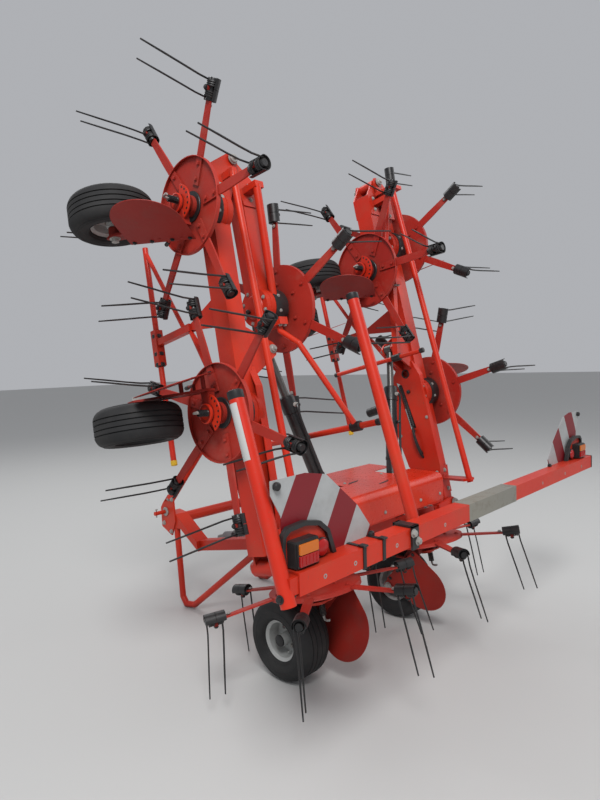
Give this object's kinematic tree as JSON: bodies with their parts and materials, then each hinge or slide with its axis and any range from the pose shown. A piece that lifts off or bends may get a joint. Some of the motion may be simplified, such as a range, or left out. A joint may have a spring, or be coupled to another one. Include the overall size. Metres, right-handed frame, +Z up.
{
  "type": "rotary hay tedder",
  "caption": "Mounted rotary hay tedder folded upright for the road: tined spider rotors on hinged wings, rear light bar with warning panels, three-point headstock and parking stand.",
  "frame": {"origin": "on the ground, in the middle of the folded and parked machine's width and length", "axes": "+X to the machine's right, +Y forward toward the tractor, +Z up"},
  "size_m": [2.9959, 2.4416, 3.2409],
  "materials": {
    "red_paint": "semi-gloss orange-red paint",
    "black_tine": "satin black spring steel and holders",
    "tyre_rubber": "matt black rubber",
    "rim_paint": "silver-grey paint",
    "shaft_steel": "grey tube and black joint",
    "panel_white": "white sheet with dark red diagonal stripes",
    "lamp_red": "ribbed lens in a black housing",
    "cylinder_black": "black paint",
    "rod_chrome": "polished"
  },
  "bodies": {
    "frame": {"main_frame": "red_paint", "hood": "red_paint", "headstock": "red_paint", "parking_stand": "red_paint", "input_shaft": "shaft_steel", "light_bar": "red_paint", "warning_panels": "panel_white", "rear_lamps": "lamp_red", "centre_legs": "red_paint"},
    "wing_l": {"wing_beam_l": "red_paint", "wing_legs_l": "red_paint", "front_guard_l": "red_paint", "tie_rod_l": "red_paint"},
    "outer_l": {"outer_beam_l": "red_paint", "outer_leg_l": "red_paint", "outer_guard_l": "red_paint"},
    "lift_barrel_l": {"lift_barrel_l": "cylinder_black"},
    "lift_rod_l": {"lift_rod_l": "rod_chrome"},
    "rotor_1l": {"rotor_1l": "red_paint", "tines_1l": "black_tine"},
    "wheel_1l": {"tyre_1l": "tyre_rubber", "rim_1l": "rim_paint"},
    "rotor_2l": {"rotor_2l": "red_paint", "tines_2l": "black_tine"},
    "wheel_2l": {"tyre_2l": "tyre_rubber", "rim_2l": "rim_paint"},
    "rotor_3l": {"rotor_3l": "red_paint", "tines_3l": "black_tine"},
    "wheel_3l": {"tyre_3l": "tyre_rubber", "rim_3l": "rim_paint"},
    "rotor_4l": {"rotor_4l": "red_paint", "tines_4l": "black_tine"},
    "wheel_4l": {"tyre_4l": "tyre_rubber", "rim_4l": "rim_paint"},
    "wing_r": {"wing_beam_r": "red_paint", "wing_legs_r": "red_paint", "front_guard_r": "red_paint", "tie_rod_r": "red_paint"},
    "outer_r": {"outer_beam_r": "red_paint", "outer_leg_r": "red_paint", "outer_guard_r": "red_paint"},
    "lift_barrel_r": {"lift_barrel_r": "cylinder_black"},
    "lift_rod_r": {"lift_rod_r": "rod_chrome"},
    "rotor_1r": {"rotor_1r": "red_paint", "tines_1r": "black_tine"},
    "wheel_1r": {"tyre_1r": "tyre_rubber", "rim_1r": "rim_paint"},
    "rotor_2r": {"rotor_2r": "red_paint", "tines_2r": "black_tine"},
    "wheel_2r": {"tyre_2r": "tyre_rubber", "rim_2r": "rim_paint"},
    "rotor_3r": {"rotor_3r": "red_paint", "tines_3r": "black_tine"},
    "wheel_3r": {"tyre_3r": "tyre_rubber", "rim_3r": "rim_paint"},
    "rotor_4r": {"rotor_4r": "red_paint", "tines_4r": "black_tine"},
    "wheel_4r": {"tyre_4r": "tyre_rubber", "rim_4r": "rim_paint"}
  },
  "joints": [
    {"name": "fold_l", "type": "hinge", "parent": "frame", "child": "wing_l", "pos_m": [-0.83, -0.41615, 0.73955], "axis": [0, -0.9781, 0.2079], "range_deg": [0, 92]},
    {"name": "outer_fold_l", "type": "hinge", "parent": "wing_l", "child": "outer_l", "pos_m": [-0.67219, 0.03493, 2.8617], "axis": [0, -0.9781, 0.2079], "range_deg": [0, 178]},
    {"name": "lift_barrel_l", "type": "hinge", "parent": "frame", "child": "lift_barrel_l", "pos_m": [-0.28, -0.39702, 0.82954], "axis": [0, -0.9781, 0.2079], "range_deg": [0, 69.71]},
    {"name": "lift_rod_l", "type": "slide", "parent": "lift_barrel_l", "child": "lift_rod_l", "axis": [-0.2802, 0.1996, 0.939], "range_m": [0, 0.61116]},
    {"name": "fold_r", "type": "hinge", "parent": "frame", "child": "wing_r", "pos_m": [0.83, -0.41615, 0.73955], "axis": [0, 0.9781, -0.2079], "range_deg": [0, 92]},
    {"name": "outer_fold_r", "type": "hinge", "parent": "wing_r", "child": "outer_r", "pos_m": [0.71168, 0.06788, 3.01671], "axis": [0, 0.9781, -0.2079], "range_deg": [0, 178]},
    {"name": "lift_barrel_r", "type": "hinge", "parent": "frame", "child": "lift_barrel_r", "pos_m": [0.28, -0.39702, 0.82954], "axis": [0, 0.9781, -0.2079], "range_deg": [0, 69.71]},
    {"name": "lift_rod_r", "type": "slide", "parent": "lift_barrel_r", "child": "lift_rod_r", "axis": [0.2802, 0.1996, 0.939], "range_m": [0, 0.61116]},
    {"name": "rotor_1l_spin", "type": "hinge", "parent": "frame", "child": "rotor_1l", "pos_m": [-0.54375, -0.449, 0.585], "axis": [0, 0.2079, 0.9781], "continuous": true},
    {"name": "rotor_2l_spin", "type": "hinge", "parent": "wing_l", "child": "rotor_2l", "pos_m": [-0.95994, -0.24852, 1.5282], "axis": [0.9994, -0.0073, -0.0341], "continuous": true},
    {"name": "rotor_3l_spin", "type": "hinge", "parent": "wing_l", "child": "rotor_3l", "pos_m": [-0.92199, -0.02255, 2.59129], "axis": [0.9994, -0.0073, -0.0341], "continuous": true},
    {"name": "rotor_4l_spin", "type": "hinge", "parent": "outer_l", "child": "rotor_4l", "pos_m": [-0.43219, -0.13192, 2.07674], "axis": [-1, 0, 0], "continuous": true},
    {"name": "rotor_1r_spin", "type": "hinge", "parent": "frame", "child": "rotor_1r", "pos_m": [0.54375, -0.449, 0.585], "axis": [0, 0.2079, 0.9781], "continuous": true},
    {"name": "rotor_2r_spin", "type": "hinge", "parent": "wing_r", "child": "rotor_2r", "pos_m": [0.95994, -0.24852, 1.5282], "axis": [-0.9994, -0.0073, -0.0341], "continuous": true},
    {"name": "rotor_3r_spin", "type": "hinge", "parent": "wing_r", "child": "rotor_3r", "pos_m": [0.92199, -0.02255, 2.59129], "axis": [-0.9994, -0.0073, -0.0341], "continuous": true},
    {"name": "rotor_4r_spin", "type": "hinge", "parent": "outer_r", "child": "rotor_4r", "pos_m": [0.51668, -0.06633, 2.38532], "axis": [1, 0, 0], "continuous": true},
    {"name": "wheel_1l_spin", "type": "hinge", "parent": "frame", "child": "wheel_1l", "pos_m": [-0.54375, -0.24874, 0.2285], "axis": [-1, 0, 0], "continuous": true},
    {"name": "wheel_2l_spin", "type": "hinge", "parent": "wing_l", "child": "wheel_2l", "pos_m": [-1.27449, 0.01787, 1.48281], "axis": [0.0349, 0.2078, 0.9776], "continuous": true},
    {"name": "wheel_3l_spin", "type": "hinge", "parent": "wing_l", "child": "wheel_3l", "pos_m": [-1.23654, 0.24383, 2.5459], "axis": [0.0349, 0.2078, 0.9776], "continuous": true},
    {"name": "wheel_4l_spin", "type": "hinge", "parent": "outer_l", "child": "wheel_4l", "pos_m": [-0.11744, 0.13218, 2.0206], "axis": [0, -0.2079, -0.9781], "continuous": true},
    {"name": "wheel_1r_spin", "type": "hinge", "parent": "frame", "child": "wheel_1r", "pos_m": [0.54375, -0.24874, 0.2285], "axis": [1, 0, 0], "continuous": true},
    {"name": "wheel_2r_spin", "type": "hinge", "parent": "wing_r", "child": "wheel_2r", "pos_m": [1.27449, 0.01787, 1.48281], "axis": [-0.0349, 0.2078, 0.9776], "continuous": true},
    {"name": "wheel_3r_spin", "type": "hinge", "parent": "wing_r", "child": "wheel_3r", "pos_m": [1.23654, 0.24383, 2.5459], "axis": [-0.0349, 0.2078, 0.9776], "continuous": true},
    {"name": "wheel_4r_spin", "type": "hinge", "parent": "outer_r", "child": "wheel_4r", "pos_m": [0.20194, 0.19777, 2.32918], "axis": [0, -0.2079, -0.9781], "continuous": true}
  ],
  "couplings": [
    {"joint": "outer_fold_l", "follows": "fold_l", "ratio": 1.9348},
    {"joint": "lift_barrel_l", "follows": "fold_l", "ratio": 0.75769},
    {"joint": "lift_rod_l", "follows": "fold_l", "m_per_rad": 0.38062},
    {"joint": "fold_r", "follows": "fold_l", "ratio": 1},
    {"joint": "outer_fold_r", "follows": "fold_l", "ratio": 1.9348},
    {"joint": "lift_barrel_r", "follows": "fold_l", "ratio": 0.75769},
    {"joint": "lift_rod_r", "follows": "fold_l", "m_per_rad": 0.38062},
    {"joint": "rotor_2l_spin", "follows": "rotor_1l_spin", "ratio": -1},
    {"joint": "rotor_3l_spin", "follows": "rotor_1l_spin", "ratio": 1},
    {"joint": "rotor_4l_spin", "follows": "rotor_1l_spin", "ratio": -1},
    {"joint": "rotor_1r_spin", "follows": "rotor_1l_spin", "ratio": -1},
    {"joint": "rotor_2r_spin", "follows": "rotor_1l_spin", "ratio": 1},
    {"joint": "rotor_3r_spin", "follows": "rotor_1l_spin", "ratio": -1},
    {"joint": "rotor_4r_spin", "follows": "rotor_1l_spin", "ratio": 1}
  ]
}
